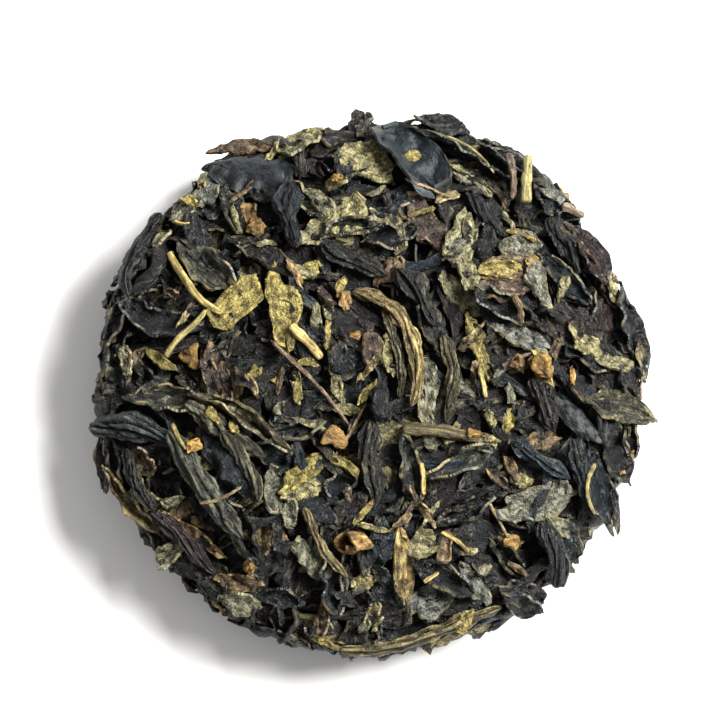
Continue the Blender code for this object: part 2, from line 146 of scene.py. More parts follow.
# A dried leaf is darkest and smoothest where it was rolled tight, and paler, duller and more
# olive where it is worn or torn, with fine streaks along it and a pebbled skin.
def leaf_surface():
    """Colour, roughness and height of dry tea leaf, from the leaf's own grain, margin and crest."""
    group = bpy.data.node_groups.new("dry_leaf", "ShaderNodeTree")
    face = group.interface
    for kind, way, names in (
        ("NodeSocketColor", "INPUT", ("Leaf", "Worn", "Torn Edge")),
        ("NodeSocketFloat", "INPUT", ("Wear", "Pebbles", "Streaks", "Mottle", "Smooth", "Rough")),
        ("NodeSocketColor", "OUTPUT", ("Color",)),
        ("NodeSocketFloat", "OUTPUT", ("Roughness", "Height")),
    ):
        for name in names:
            face.new_socket(name, in_out=way, socket_type=kind)
    nodes, links = group.nodes, group.links
    given, result = nodes.new("NodeGroupInput"), nodes.new("NodeGroupOutput")

    def attribute(name):
        node = nodes.new("ShaderNodeAttribute")
        node.attribute_name = name
        return node

    def noise(stretch, scale, detail, roughness):
        mapping = nodes.new("ShaderNodeMapping")
        mapping.inputs["Scale"].default_value = stretch
        links.new(attribute("grain").outputs["Vector"], mapping.inputs["Vector"])
        node = nodes.new("ShaderNodeTexNoise")
        node.inputs["Scale"].default_value = scale
        node.inputs["Detail"].default_value = detail
        node.inputs["Roughness"].default_value = roughness
        links.new(mapping.outputs["Vector"], node.inputs["Vector"])
        return node.outputs["Fac"]

    def spread(value, low, high, to_low=0.0, to_high=1.0):
        node = nodes.new("ShaderNodeMapRange")
        node.interpolation_type = "SMOOTHSTEP"
        for socket, number in zip(node.inputs[1:5], (low, high, to_low, to_high)):
            socket.default_value = number
        links.new(value, node.inputs["Value"])
        return node.outputs["Result"]

    def maths(kind, a, b):
        node = nodes.new("ShaderNodeMath")
        node.operation = kind
        for socket, value in zip(node.inputs, (a, b)):
            if isinstance(value, float):
                socket.default_value = value
            else:
                links.new(value, socket)
        return node.outputs["Value"]

    def mix(kind, factor, a, b):
        node = nodes.new("ShaderNodeMix")
        node.data_type = "RGBA"
        node.blend_type = kind
        factor_socket, first_colour, second_colour, mixed = 0, 6, 7, 2
        for index, value in ((factor_socket, factor), (first_colour, a), (second_colour, b)):
            if isinstance(value, float):
                node.inputs[index].default_value = value
            else:
                links.new(value, node.inputs[index])
        return node.outputs[mixed]

    patches = noise(stretch=(0.7, 1.0, 1.0), scale=0.95, detail=5.0, roughness=0.68)
    streaks = noise(stretch=(0.35, 3.4, 1.0), scale=1.1, detail=5.0, roughness=0.68)
    skin = noise(stretch=(0.8, 1.1, 1.0), scale=2.5, detail=4.0, roughness=0.78)
    bumps = nodes.new("ShaderNodeTexVoronoi")
    bumps.inputs["Scale"].default_value = 5.0
    links.new(attribute("grain").outputs["Vector"], bumps.inputs["Vector"])
    fibres = maths("MULTIPLY", streaks, given.outputs["Streaks"])
    crest = attribute("crest").outputs["Fac"]

    # Wear, partly a painted highlight, takes the crests first, in patches that run along the leaf
    wear = maths("ADD", maths("MULTIPLY", patches, 0.75), maths("MULTIPLY", streaks, 0.25))
    wear = maths("ADD", wear, maths("SUBTRACT", given.outputs["Wear"], 0.5))
    wear = spread(maths("ADD", wear, maths("MULTIPLY", crest, 0.07)), low=0.44, high=0.60)
    colour = mix("MIX", wear, given.outputs["Leaf"], given.outputs["Worn"])

    # Streaks and spots, with painted shade in the dips and a painted highlight on the crests
    spotted = maths("MULTIPLY", skin, maths("SUBTRACT", 1.0, given.outputs["Streaks"]))
    shade = spread(maths("ADD", fibres, spotted), low=0.40, high=0.61, to_low=0.22, to_high=1.9)
    mottle = maths("MULTIPLY", maths("SUBTRACT", shade, 1.0), given.outputs["Mottle"])
    shade = maths("ADD", 1.0, mottle)
    painted_shade_and_highlight = spread(crest, low=-1.2, high=1.2, to_low=0.46, to_high=1.38)
    shade = maths("MULTIPLY", shade, painted_shade_and_highlight)
    gray = nodes.new("ShaderNodeCombineColor")
    for socket in gray.inputs:
        links.new(shade, socket)
    colour = mix("MULTIPLY", 1.0, colour, gray.outputs["Color"])

    # Torn edges, broken up by the same patches
    edge = maths("MULTIPLY", attribute("margin").outputs["Fac"], spread(patches, 0.48, 0.62))
    colour = mix("MIX", edge, colour, given.outputs["Torn Edge"])
    links.new(colour, result.inputs["Color"])
    rough = nodes.new("ShaderNodeMix")
    links.new(maths("MAXIMUM", wear, edge), rough.inputs["Factor"])
    links.new(given.outputs["Smooth"], rough.inputs["A"])
    links.new(given.outputs["Rough"], rough.inputs["B"])
    links.new(rough.outputs["Result"], result.inputs["Roughness"])

    # Fibres along the leaf and pebbles all over it
    pebbles = maths("SUBTRACT", skin, maths("MULTIPLY", bumps.outputs["Distance"], 0.42))
    pebbles = maths("MULTIPLY", pebbles, given.outputs["Pebbles"])
    height = maths("ADD", maths("MULTIPLY", fibres, 2.0), pebbles)
    links.new(height, result.inputs["Height"])
    return group


DRY_LEAF = leaf_surface()


def leaf_material(
    name, shades, worn, edge, wear, smooth, rough, relief,
    pebbles=0.8, streaks=0.4, mottle=1.0, specular=0.42,
):
    """One kind of leaf. shades and worn are its colours, which each leaf's own tint picks from.

    smooth and rough are its roughness where it is whole and where it is worn, and relief is the
    height of its fine texture, in metres.
    """
    material = bpy.data.materials.new(name)
    material.use_nodes = True
    nodes, links = material.node_tree.nodes, material.node_tree.links
    shader = nodes["Principled BSDF"]
    shader.inputs["Specular IOR Level"].default_value = specular
    tint = nodes.new("ShaderNodeAttribute")
    tint.attribute_name = "tint"
    surface = nodes.new("ShaderNodeGroup")
    surface.node_tree = DRY_LEAF
    for socket, colours in (("Leaf", shades), ("Worn", worn)):
        ramp = nodes.new("ShaderNodeValToRGB")
        stops = ramp.color_ramp.elements
        while len(stops) < len(colours):
            stops.new(0.5)
        for index, colour in enumerate(colours):
            stops[index].position = index / (len(colours) - 1)
            stops[index].color = (*colour, 1)
        links.new(tint.outputs["Fac"], ramp.inputs["Fac"])
        links.new(ramp.outputs["Color"], surface.inputs[socket])
    surface.inputs["Torn Edge"].default_value = (*edge, 1)
    for socket, value in (
        ("Wear", wear), ("Pebbles", pebbles), ("Streaks", streaks),
        ("Mottle", mottle), ("Smooth", smooth), ("Rough", rough),
    ):
        surface.inputs[socket].default_value = value
    bump = nodes.new("ShaderNodeBump")
    bump.inputs["Strength"].default_value = 0.9
    bump.inputs["Distance"].default_value = relief
    links.new(surface.outputs["Height"], bump.inputs["Height"])
    links.new(surface.outputs["Color"], shader.inputs["Base Color"])
    links.new(surface.outputs["Roughness"], shader.inputs["Roughness"])
    links.new(bump.outputs["Normal"], shader.inputs["Normal"])
    return material


# Near-black and dull: painted shade for the bottom of the gaps between the leaves
core_painted_shade = leaf_material(
    "shaded_core_leaf",
    shades=((0.007, 0.007, 0.008), (0.008, 0.008, 0.008)),
    worn=((0.014, 0.014, 0.014), (0.014, 0.014, 0.014)),
    edge=(0.008, 0.007, 0.005),
    wear=0.35, streaks=0.3, smooth=0.8, rough=0.95, relief=0.00024, specular=0.1,
)
for name in ("tint", "margin", "crest"):
    core_mesh.attributes.new(name, "FLOAT", "POINT")
grain = core_mesh.attributes.new("grain", "FLOAT_VECTOR", "POINT")
grain.data.foreach_set("vector", core_points.astype(np.float32).ravel())
core_mesh.materials.append(core_painted_shade)
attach(leaf_core, "root")
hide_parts("tea_disc")


# ---- Loose leaf ---------------------------------------------------------------------------
# Each leaf of the tea was rolled, twisted and dried by itself and then pressed in with the
# others, so each is made by itself and comes to lie on what is already there.
STIFFNESS = 0.45  # how straight a leaf stays over the round of the disc: 1 is quite straight
FLEX = 0.65  # how far it follows the dips below it
HELD = (0, 0.02, 0.02, 0.3, 0.3, 0.3)  # against rising, tilting and bending in a fit to them
CONTACT = 82  # the share of its lower half that clears the pile, in percent
OVERPRESSED = 0.45  # what the press leaves of the part that stands above its level
EDGE_REACH = 0.985  # the outermost place on a face, as a share of the radius
OVERHANG = 0.8  # how much of its way past that place a leaf keeps
SIDE_LOW, SIDE_HIGH = 1.2, 9.0  # the heights between which leaves are laid against the side
UNDER_RISE = 1.2  # how far the underside rises to its edge
SQUASH_LEVEL, SQUASHED = 0.2, 0.16  # below this level little of a leaf's depth is left
LOWEST = 0.13  # the least height of a leaf's middle over the table

# How high the pile stands over the even form, kept in small cells along that form
CELL = 0.6
PILE_LOW = np.array((-31.0, -31.0, -1.0))
PILE_CELLS = (104, 104, 29)
pile = np.full(PILE_CELLS, -CORE_DEPTH)


def cells_of(surface):
    cells = ((surface - PILE_LOW) / CELL).astype(int)
    return tuple(np.clip(cells, 0, np.array(PILE_CELLS) - 1).T)


def form_height(reach):
    """Height of the upper face, at a share of the way from the middle to the edge."""
    return WAIST + (FORM_TOP - WAIST) * (1 - reach**CROWN_POWER) ** (1 / CROWN_POWER)


def pressed_flat(points):
    """Keeps points off the table that the disc lies on."""
    low = points[:, 2] < SQUASH_LEVEL
    points[low, 2] = SQUASH_LEVEL + SQUASHED * (points[low, 2] - SQUASH_LEVEL)
    points[:, 2] = np.maximum(points[:, 2], LOWEST)
    return points


def leaf_frame(point, heading, overhang=(0, 0, 0), level=0.0):
    """A place on the form for a leaf: origin, directions along, across and out, overhang."""
    origin, out = on_form(np.array([point], float))
    origin, out = origin[0], out[0] * (1 - level) + (0, 0, level)
    out /= np.linalg.norm(out)
    along = np.array(heading, float) - out * np.dot(heading, out)
    along /= np.linalg.norm(along)
    return origin, along, np.cross(out, along), out, np.array(overhang, float)


def face_frame(right, up, turn, level=0.0):
    """The place on the face or shoulder that is seen right and up of the middle of the view."""
    ray = (MIDDLE + RIGHT * right + UP * up - EYE).normalized()
    height = FORM_TOP
    for _ in range(12):  # steps towards where the line of sight meets the face
        spot = EYE + ray * ((height - EYE.z) / ray.z)
        reach = min(math.hypot(spot.x, spot.y) / FORM_RADIUS, EDGE_REACH)
        height += 0.7 * (form_height(reach) - height)
    inside = min(1.0, EDGE_REACH * FORM_RADIUS / max(math.hypot(spot.x, spot.y), 0.01))
    turn = math.radians(turn)
    point = (spot.x * inside, spot.y * inside, height)
    overhang = (spot.x * (1 - inside) * OVERHANG, spot.y * (1 - inside) * OVERHANG, 0)
    return leaf_frame(point, (math.cos(turn), math.sin(turn), 0), overhang, level)


def random_frame(zone, tries=7):
    """The lowest of a few random places on the top, the side or the underside."""
    best = None
    for _ in range(tries):
        around = dice.uniform(0, 2 * math.pi)
        if zone == "side":
            reach, level = 1.0, dice.uniform(SIDE_LOW, SIDE_HIGH)
            slant = dice.normal(0, 0.5)
            heading = (
                -math.sin(around) * math.cos(slant), math.cos(around) * math.cos(slant),
                math.sin(slant),
            )
        else:
            reach = math.sqrt(dice.uniform(0.0, 1.0)) * EDGE_REACH
            level = form_height(reach) if zone == "top" else UNDER_RISE * reach**3
            turn = dice.uniform(0, 2 * math.pi)
            heading = (math.cos(turn), math.sin(turn), 0.0)
        out = reach * FORM_RADIUS
        place = leaf_frame((out * math.cos(around), out * math.sin(around), level), heading)
        origin, along, across = place[:3]
        spots = [origin + along * a + across * b for a in (-1.2, 0, 1.2) for b in (-1, 0, 1)]
        height = pile[cells_of(on_form(np.array(spots))[0])].mean()
        if best is None or height < best[0]:
            best = (height, place)
    return best[1]


def lay(place, points, press, sink=0.15, stiffness=STIFFNESS):
    """Lays a leaf's points on the pile at that place, and adds the leaf to the pile.

    press is the level over the even form that the leaf is pressed down to, and sink is how far
    it sinks into the pile.
    """
    origin, along, across, out, overhang = place
    x, y, z = points.T
    straight = origin + x[:, None] * along + y[:, None] * across
    surface, surface_out = on_form(straight)
    cells = cells_of(surface)
    under = pile[cells]
    size = max(np.ptp(x), np.ptp(y), 1.0) / 2
    terms = np.stack(
        (np.ones_like(x), x / size, y / size, (x / size) ** 2, x * y / size**2, (y / size) ** 2), 1
    )
    holding = np.diag(HELD) * len(x)
    fit = np.linalg.solve(terms.T @ terms + holding + 1e-6 * np.eye(6), terms.T @ under)
    follow = (terms[:, 1:] @ fit[1:]) * FLEX
    low = z < np.median(z)
    need = under[low] - z[low] - follow[low]
    lift = np.percentile(need, CONTACT) - sink
    height = z + follow + lift
    over = height - press
    height = np.where(over > 0, press + OVERPRESSED * over, height)
    spot = surface + (straight - surface) * stiffness
    facing = surface_out + (out - surface_out) * stiffness
    facing /= np.linalg.norm(facing, axis=1, keepdims=True)
    np.maximum.at(pile, cells, height)
    return pressed_flat(spot + facing * height[:, None] + overhang)


class Heap:
    """Leaves of one kind, gathered in one mesh."""

    def __init__(self, name, thickness=0.0):
        self.name = name
        self.thickness = thickness
        self.made = bmesh.new()

    def add(self, leaf, place, press, tone, sink=0.15, stiffness=STIFFNESS):
        """Lays a leaf in the pile and keeps it. tone picks its colour within its kind."""
        tint = leaf.verts.layers.float.new("tint")
        points = lay(place, coordinates(leaf), press, sink, stiffness)
        give_coordinates(leaf, points * MM)
        for vertex in leaf.verts:
            vertex[tint] = tone
        mesh = bpy.data.meshes.new("leaf")
        leaf.to_mesh(mesh)
        leaf.free()
        self.made.from_mesh(mesh)
        bpy.data.meshes.remove(mesh)

    def finish(self, material):
        """One object of all the leaves, each sheet given the thickness of dry leaf."""
        mesh = bpy.data.meshes.new(self.name)
        self.made.to_mesh(mesh)
        self.made.free()
        piece = bpy.data.objects.new(self.name, mesh)
        bpy.context.scene.collection.objects.link(piece)
        if self.thickness:
            skin = piece.modifiers.new("leaf_thickness", "SOLIDIFY")
            skin.thickness = self.thickness * MM
            skin.offset = 0.0
            skin.use_even_offset = False
            graph = bpy.context.evaluated_depsgraph_get()
            piece.data = bpy.data.meshes.new_from_object(piece.evaluated_get(graph))
            piece.data.name = self.name
            piece.modifiers.clear()
            bpy.data.meshes.remove(mesh)
        piece.data.materials.append(material)
        piece.data.shade_smooth()
        piece.data.set_sharp_from_angle(angle=math.radians(50))
        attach(piece, "root")
        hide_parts("tea_disc")
        return piece


def field_at(field, u, v):
    """A field given on an even grid over the leaf, read at places from -0.5 to 0.5."""
    rows, columns = field.shape[:2]
    a = np.clip((u + 0.5) * (rows - 1), 0, rows - 1.001)
    b = np.clip((v + 0.5) * (columns - 1), 0, columns - 1.001)
    i, j = a.astype(int), b.astype(int)
    s, t = (a - i)[:, None], (b - j)[:, None]
    near = field[i, j] * (1 - t) + field[i, j + 1] * t
    far = field[i + 1, j] * (1 - t) + field[i + 1, j + 1] * t
    return near * (1 - s) + far * s


def keep_grain(leaf, along, across, margin, crest):
    """Keeps each point's place on its leaf, how near a torn edge it is, and how it stands out."""
    grain_layer = leaf.verts.layers.float_vector.new("grain")
    margin_layer = leaf.verts.layers.float.new("margin")
    crest_layer = leaf.verts.layers.float.new("crest")
    part = dice.uniform(0, 40)
    rows = np.stack((along, across, margin, crest), 1).tolist()
    for vertex, (a, b, near, high) in zip(leaf.verts, rows):
        vertex[grain_layer] = (a, b, part)
        vertex[margin_layer] = near
        vertex[crest_layer] = high
    bmesh.ops.triangulate(leaf, faces=leaf.faces[:])
    return leaf


FEWEST_CELLS = 6
SHEET_ROWS, SHEET_COLUMNS = 41, 33
MARGIN_WIDTH = 0.2


def sheet_leaf(
    length, flat, cell, roll=60, bend=0, twist=0, crumple=1.0, torn=1, taper=0.5, ridges=0.0,
    frill=0.10, pebble=0.05, stand=0,
):
    """A leaf or a torn part of one, cut from a sheet and curled, folded and crumpled.

    length and flat are its size before it curls, roll is how far it curls round its length, and
    bend and twist are degrees from end to end. torn is how many straight tears cut its outline,
    and stand is how far one end is tipped up.
    """
    leaf = bmesh.new()
    bmesh.ops.create_grid(
        leaf, size=0.5, x_segments=max(FEWEST_CELLS, round(length / cell)),
        y_segments=max(FEWEST_CELLS, round(flat / cell)),
    )
    tears = []
    for _ in range(torn):
        angle = dice.uniform(0, 2 * math.pi)
        way = np.array((math.cos(angle), math.sin(angle)))
        depth = dice.uniform(0.32, 0.46)
        tears.append((way, depth))
        across = Vector((way[0], way[1], 0))
        bmesh.ops.bisect_plane(
            leaf, geom=leaf.verts[:] + leaf.edges[:] + leaf.faces[:],
            plane_co=across * depth, plane_no=across, clear_outer=True, dist=1e-4,
        )
    flat_points = coordinates(leaf)[:, :2]
    u, v = flat_points.T

    # Its outline, with a ragged width, and the angle that it has turned by across that width
    uu = np.linspace(-0.5, 0.5, SHEET_ROWS)[:, None] * np.ones((1, SHEET_COLUMNS))
    vv = np.linspace(-0.5, 0.5, SHEET_COLUMNS)[None, :] * np.ones((SHEET_ROWS, 1))
    grid = np.stack((uu * length, vv * flat), -1)
    side = (grid[..., 0:1] / length + (vv[..., None] > 0) * 5.3)
    ragged = waves(side, 1.0, 3, dice) * frill + creases(side, 0.31, 4, dice) * 0.7 * frill
    belly = np.clip(1 - np.abs(2 * uu) ** 2.2, 0, 1) ** taper
    width = flat * np.maximum(belly, 0.12) * (1 + ragged)
    t = vv + 0.5
    tight = 0.9 if roll > 250 else 0.25
    angle = math.radians(roll) * ((t + tight * t * t) / (1 + tight) - 0.5)
    angle = angle + ridges * creases(grid * (0.12, 1.0), flat / 3.2, 3, dice)
    buckled = 0.14 * waves(grid, 2.9, 6, dice) + 0.40 * creases(grid, 2.1, 4, dice)
    angle = angle + crumple * buckled
    step = width / (SHEET_COLUMNS - 1)
    y = np.cumsum(np.cos(angle) * step, 1)
    z = np.cumsum(np.sin(angle) * step, 1)
    y -= y.mean(1, keepdims=True)
    z -= z.mean(1, keepdims=True)
    wind = math.radians(twist) * uu + dice.uniform(-0.3, 0.3)
    y, z = y * np.cos(wind) - z * np.sin(wind), y * np.sin(wind) + z * np.cos(wind)

    # Its middle line, which bends and bows, and the sheet along it
    place = np.linspace(-0.5, 0.5, SHEET_ROWS)
    heading = math.radians(bend) * place + 0.12 * np.sin(5 * place + dice.uniform(0, 6))
    pitch = crumple * 0.16 * np.sin(dice.uniform(4, 9) * place + dice.uniform(0, 6))
    pace = length / (SHEET_ROWS - 1) * (1 + 0.06 * waves(side[:, 0], 0.4, 3, dice))
    cx = np.cumsum(np.cos(heading) * np.cos(pitch) * pace)
    cy = np.cumsum(np.sin(heading) * pace)
    cz = np.cumsum(np.sin(pitch) * pace)
    middle = SHEET_ROWS // 2
    cx, cy, cz = cx - cx[middle], cy - cy[middle], cz - cz.mean()
    frayed = waves(np.stack((vv * 3, uu * 0), -1), 1.1, 4, dice)
    frayed = frayed * 0.07 * length * np.abs(2 * uu) ** 3
    field = np.stack(
        (
            cx[:, None] - y * np.sin(heading)[:, None] + frayed,
            cy[:, None] + y * np.cos(heading)[:, None],
            cz[:, None] + z,
        ),
        -1,
    )
    fine = 0.05 * waves(grid, 1.1, 6, dice) + 0.11 * creases(grid, 1.0, 4, dice)
    field[..., 2] += crumple * fine
    points = field_at(field, u, v)

    # The pebbled skin
    own = flat_points * (length, flat)
    relief = (
        0.8 * creases(own, 1.5, 4, dice)
        + 0.4 * creases(own * (0.5, 1.0), 0.6, 4, dice)
        + 0.4 * waves(own, 0.42, 8, dice)
    )
    points[:, 2] += pebble * 1.25 * relief
    lean = math.radians(stand)
    tipped = np.array(
        ((math.cos(lean), 0, math.sin(lean)), (0, 1, 0), (-math.sin(lean), 0, math.cos(lean)))
    )
    give_coordinates(leaf, points @ tipped)

    gap = np.minimum((0.5 - np.abs(u)) * length, (0.5 - np.abs(v)) * flat)
    for way, depth in tears:
        gap = np.minimum(gap, (depth - flat_points @ way) * min(length, flat))
    margin = np.exp(-np.maximum(gap, 0) / MARGIN_WIDTH)
    return keep_grain(leaf, u * length, v * flat, margin, relief)


def spindle(
    length, width, segments, rings, bend=0, twist=0, flat=0.7, overlap=0.2, folds=3,
    fold_depth=0.3, blunt=3.0, taper=0.0, crumple=0.08, sway=0.05, strands=0,
):
    """A tightly rolled leaf, a stem or a bud: closed, with folds and the roll's edge along it.

    strands is how many ridges run round it, and folds how many single creases run along it.
    """
    leaf = bmesh.new()
    bmesh.ops.create_uvsphere(leaf, u_segments=segments, v_segments=rings, radius=1)
    way = coordinates(leaf)
    place = np.arcsin(np.clip(way[:, 2], -1, 1)) / math.pi
    around = np.arctan2(way[:, 1], way[:, 0])
    turned = (around + math.pi) / (2 * math.pi)
    on_surface = np.stack(
        (place * length, np.cos(around) * width / 2, np.sin(around) * width / 2), 1
    )
    along = place[:, None] * length
    ends = np.where(place > 0, blunt * dice.uniform(0.5, 0.9), blunt * dice.uniform(0.9, 2.2))
    swell = np.clip(1 - np.abs(2 * place) ** ends, 0, 1) ** 0.6 * (1 - taper * place)
    swell = swell * (1 + 1.2 * crumple * waves(along, width * 2.2, 4, dice))
    radius = swell * (1 - overlap * turned)
    if strands:
        lean = around * strands / 2 + dice.uniform(0, 3) + 0.5 * waves(along, width * 3, 3, dice)
        lean = lean + 1.4 * dice.normal() * place
        radius = radius * (1 - fold_depth * (1 - np.abs(np.sin(lean)) ** 0.55))
    for _ in range(folds):
        line = dice.uniform(-math.pi, math.pi) + dice.normal(0, 1.2) * place
        line = line + 0.25 * waves(along, width * 2.5, 3, dice)
        apart = np.abs((around - line + math.pi) % (2 * math.pi) - math.pi)
        deep = fold_depth * dice.uniform(0.5, 1.0)
        wide = dice.uniform(0.22, 0.45)
        radius = radius * (1 - deep * np.exp(-((apart / wide) ** 1.5)))
    radius = radius * (1 + crumple * creases(on_surface * (0.4, 1, 1), width * 0.5, 5, dice))
    radius = radius * (1 + 0.5 * crumple * waves(on_surface, width * 0.45, 6, dice))
    crest = np.clip((radius / np.maximum(swell, 0.05) - 0.70) * 4.5, -1.5, 1.5)

    wind = around + math.radians(twist) * place + dice.uniform(0, 6.28)
    heading = math.radians(bend) * place
    if abs(bend) > 1:
        arc = length / math.radians(bend)
        cx, cy = arc * np.sin(heading), arc * (1 - np.cos(heading))
    else:
        cx, cy = place * length, place * 0
    cy = cy + sway * length * np.sin(dice.uniform(4, 8) * place + dice.uniform(0, 6))
    cz = 0.5 * sway * length * np.sin(dice.uniform(3, 7) * place + dice.uniform(0, 6))
    side = radius * width / 2 * np.cos(wind)
    rise = radius * width / 2 * flat * np.sin(wind)
    points = np.stack((cx - side * np.sin(heading), cy + side * np.cos(heading), cz + rise), 1)
    give_coordinates(leaf, points)
    roll_edge = np.exp(-np.minimum(turned, 1 - turned) * 24) * (overlap > 0)
    margin = np.minimum(roll_edge + np.abs(2 * place) ** 14, 1.0)
    return keep_grain(leaf, place * length, turned * width * 3, margin, crest)


# ---- Bedding leaves -----------------------------------------------------------------------
# The bulk of the tea: short rolled leaves and torn bits that fill the disc all round and show
# between the larger leaves, closely packed but with gaps a few millimetres deep.
LEAF_THICKNESS = 0.24
ROLLED_SHARE, OLIVE_SHARE = 0.22, 0.10

dark_leaf = leaf_material(
    "dark_leaf",
    shades=(
        (0.006, 0.011, 0.015), (0.009, 0.010, 0.011), (0.012, 0.012, 0.010), (0.009, 0.009, 0.009),
        (0.019, 0.012, 0.012),
    ),
    # The first worn colour is bluish: partly wear, partly a painted bluish sheen
    worn=(
        (0.040, 0.049, 0.054), (0.050, 0.053, 0.046), (0.070, 0.066, 0.044), (0.044, 0.047, 0.044),
        (0.073, 0.055, 0.050),
    ),
    edge=(0.110, 0.097, 0.055),
    wear=0.37, streaks=0.5, smooth=0.27, rough=0.52, relief=0.00048,
)
# The top bedding lies lowest, under the placed leaves, and takes this darker, duller copy of
# dark_leaf: painted shade for the gaps between those leaves.
shaded_bedding_leaf = leaf_material(
    "shaded_bedding_leaf",
    shades=(
        (0.007, 0.009, 0.011), (0.008, 0.008, 0.009), (0.010, 0.009, 0.009), (0.010, 0.008, 0.009),
    ),
    worn=(
        (0.032, 0.036, 0.039), (0.038, 0.038, 0.034), (0.049, 0.047, 0.035), (0.044, 0.037, 0.034),
    ),
    edge=(0.055, 0.049, 0.030),
    wear=0.38, smooth=0.42, rough=0.7, relief=0.00036, specular=0.26,
)
olive_leaf = leaf_material(
    "olive_leaf",
    shades=(
        (0.028, 0.031, 0.022), (0.044, 0.041, 0.019), (0.068, 0.055, 0.019), (0.070, 0.042, 0.022),
    ),
    worn=(
        (0.088, 0.091, 0.079), (0.156, 0.147, 0.087), (0.200, 0.177, 0.080), (0.190, 0.138, 0.072),
    ),
    edge=(0.180, 0.155, 0.075),
    wear=0.6, pebbles=1.0, streaks=0.15, mottle=0.78, smooth=0.4, rough=0.62, relief=0.00044,
)

# Rows: zone, how many leaves, level that they are pressed to, size of a mesh cell, leaf.
ZONES = (
    ("under", 300, 0.0, 0.62, dark_leaf),
    ("side", 420, 0.8, 0.56, dark_leaf),
    ("top", 420, -1.5, 0.45, shaded_bedding_leaf),
)
for zone, count, press, cell, material in ZONES:
    rolls = Heap(f"{zone}_bedding_rolls")
    dark_bits = Heap(f"{zone}_bedding", LEAF_THICKNESS)
    olive_bits = Heap(f"{zone}_olive_bedding", LEAF_THICKNESS)
    for _ in range(count):
        place = random_frame(zone)
        sort = dice.random()
        if sort < ROLLED_SHARE:
            leaf = spindle(
                length=dice.uniform(4.0, 9.0), width=dice.uniform(0.8, 1.7), segments=12, rings=16,
                bend=dice.normal(0, 35), twist=dice.normal(0, 160), flat=dice.uniform(0.6, 0.9),
                blunt=dice.uniform(2.0, 4.0), crumple=0.12,
            )
            rolls.add(leaf, place, press, dice.random())
        else:
            leaf = sheet_leaf(
                length=dice.uniform(3.5, 7.5), flat=dice.uniform(2.6, 5.0), cell=cell,
                roll=dice.normal(0, 90), bend=dice.normal(0, 18), twist=dice.normal(0, 30),
                crumple=dice.uniform(0.8, 1.5), torn=dice.integers(0, 3),
            )
            heap = olive_bits if sort > 1 - OLIVE_SHARE else dark_bits
            uneven = dice.uniform(-0.6, 0.9) if zone == "side" else 0
            heap.add(leaf, place, press + uneven, dice.random())
    rolls.finish(material)
    dark_bits.finish(material)
    olive_bits.finish(olive_leaf)

# Larger loose pieces over the bedding, of the sizes that the placed ones have
LOOSE_LEAVES, LOOSE_ROLLS = 64, 46
loose_leaves = Heap("loose_leaves", LEAF_THICKNESS)
for _ in range(LOOSE_LEAVES):
    leaf = sheet_leaf(
        length=dice.uniform(4.0, 8.0), flat=dice.uniform(2.6, 4.6), cell=0.27,
        roll=dice.normal(60, 110), bend=dice.normal(0, 18), twist=dice.normal(0, 40),
        crumple=dice.uniform(0.7, 1.3), torn=dice.integers(0, 3), ridges=0.25,
    )
    loose_leaves.add(leaf, random_frame("top", tries=12), 0.0, dice.random())
loose_rolls = Heap("loose_rolls")
for _ in range(LOOSE_ROLLS):
    leaf = spindle(
        length=dice.uniform(4.5, 8.5), width=dice.uniform(1.0, 2.0), segments=18, rings=30,
        bend=dice.normal(0, 30), twist=dice.normal(0, 130), flat=dice.uniform(0.6, 0.9),
        blunt=dice.uniform(2.4, 4.0), crumple=0.12, strands=dice.integers(3, 6), folds=2,
    )
    loose_rolls.add(leaf, random_frame("top", tries=12), 0.2, dice.random())
loose_leaves.finish(dark_leaf)
loose_rolls.finish(dark_leaf)


# ---- Torn flakes --------------------------------------------------------------------------
# Flat bits of broken leaf, crumpled and curled at their edges. Most are dark, many are olive
# with a pebbled skin, and some are brown.
brown_leaf = leaf_material(
    "brown_leaf",
    shades=(
        (0.022, 0.014, 0.014), (0.040, 0.026, 0.018), (0.085, 0.056, 0.026), (0.210, 0.118, 0.036),
    ),
    worn=(
        (0.070, 0.056, 0.050), (0.110, 0.084, 0.050), (0.180, 0.130, 0.060), (0.320, 0.210, 0.075),
    ),
    edge=(0.230, 0.165, 0.075),
    wear=0.42, pebbles=0.7, streaks=0.35, mottle=0.8, smooth=0.36, rough=0.62, relief=0.00036,
)

